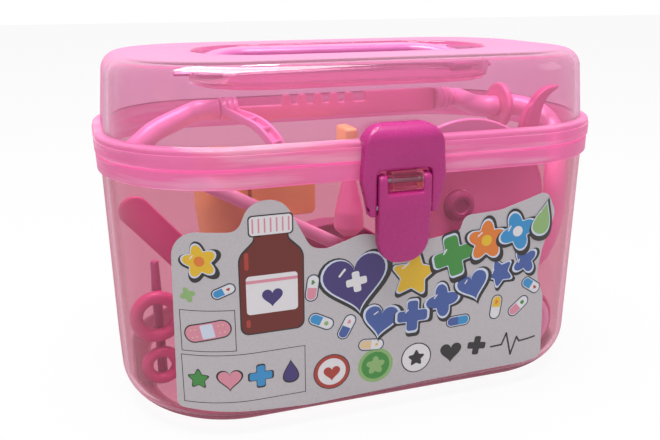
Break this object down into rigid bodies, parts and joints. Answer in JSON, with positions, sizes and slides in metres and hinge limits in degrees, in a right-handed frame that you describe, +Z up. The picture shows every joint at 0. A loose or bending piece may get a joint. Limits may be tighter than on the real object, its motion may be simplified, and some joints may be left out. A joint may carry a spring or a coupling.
{
  "type": "toy doctor case",
  "caption": "Clear pink toy carry case with a hinged lid, over-centre latch, folding handle, front sticker and a set of toy doctor's instruments inside.",
  "frame": {"origin": "middle of the case's resting face, on the surface it stands on", "axes": "+X to the right seen from the front, +Y to the back where the hinges are, +Z up"},
  "size_m": [0.21, 0.1444, 0.1397],
  "materials": {
    "clear_pink_plastic": "clear pink polystyrene, glossy",
    "latch_plastic": "dark magenta plastic, glossy",
    "handle_plastic": "magenta plastic, glossy",
    "light_pink_plastic": "light pink plastic",
    "coral_plastic": "coral pink plastic",
    "deep_pink_plastic": "deep pink plastic",
    "orange_plastic": "orange plastic",
    "lilac_plastic": "pale lilac plastic",
    "mauve_plastic": "mauve plastic",
    "steel_wire": "plain steel wire",
    "printed_paper": "printed sticker, satin"
  },
  "bodies": {
    "case": {"base_tub": "clear_pink_plastic", "hinge_pin_left": "steel_wire", "hinge_pin_right": "steel_wire", "lever_pin": "steel_wire", "front_label": "printed_paper", "headset_bridge": "coral_plastic", "collar_left": "light_pink_plastic", "collar_right": "light_pink_plastic", "ear_tube_left": "light_pink_plastic", "ear_tube_right": "light_pink_plastic", "ear_tip_left": "mauve_plastic", "yoke_arm": "coral_plastic", "hose_flange": "deep_pink_plastic", "hose": "light_pink_plastic", "chest_piece": "deep_pink_plastic", "chest_diaphragm": "lilac_plastic", "mirror_dish": "light_pink_plastic", "mirror_boss": "mauve_plastic", "mirror_stem": "deep_pink_plastic", "tweezers": "handle_plastic", "scissors_lower": "deep_pink_plastic", "scissors_rivet": "mauve_plastic", "thermometer": "lilac_plastic", "thermometer_bulb": "mauve_plastic", "examination_probe": "mauve_plastic", "tongue_depressor": "deep_pink_plastic", "otoscope_handle": "orange_plastic", "otoscope_head": "orange_plastic", "hammer_handle": "deep_pink_plastic", "hammer_head": "light_pink_plastic", "kidney_dish": "mauve_plastic"},
    "lid": {"lid_shell": "clear_pink_plastic"},
    "handle": {"carry_handle": "handle_plastic"},
    "lever": {"latch_lever": "latch_plastic", "hook_pin": "steel_wire"},
    "hook": {"latch_hook": "latch_plastic"},
    "scissors_half": {"scissors_upper": "deep_pink_plastic"}
  },
  "joints": [
    {"name": "lid_hinge", "type": "hinge", "parent": "case", "child": "lid", "pos_m": [0, 0.069, 0.1044], "axis": [-1, 0, 0], "range_deg": [0, 105]},
    {"name": "handle_fold", "type": "hinge", "parent": "lid", "child": "handle", "pos_m": [0, 0, 0.1322], "axis": [1, 0, 0], "range_deg": [0, 160]},
    {"name": "latch_lever_turn", "type": "hinge", "parent": "case", "child": "lever", "pos_m": [0, -0.0684, 0.09745], "axis": [-1, 0, 0], "range_deg": [0, 120]},
    {"name": "latch_hook_turn", "type": "hinge", "parent": "lever", "child": "hook", "pos_m": [0, -0.0684, 0.08745], "axis": [-1, 0, 0], "range_deg": [-138, 0]},
    {"name": "scissors_pivot", "type": "hinge", "parent": "case", "child": "scissors_half", "pos_m": [-0.0501, -0.01505, 0.02088], "axis": [0, 1, 0], "range_deg": [0, 20]}
  ],
  "couplings": [
    {"joint": "latch_hook_turn", "follows": "latch_lever_turn", "ratio": -1.15}
  ]
}
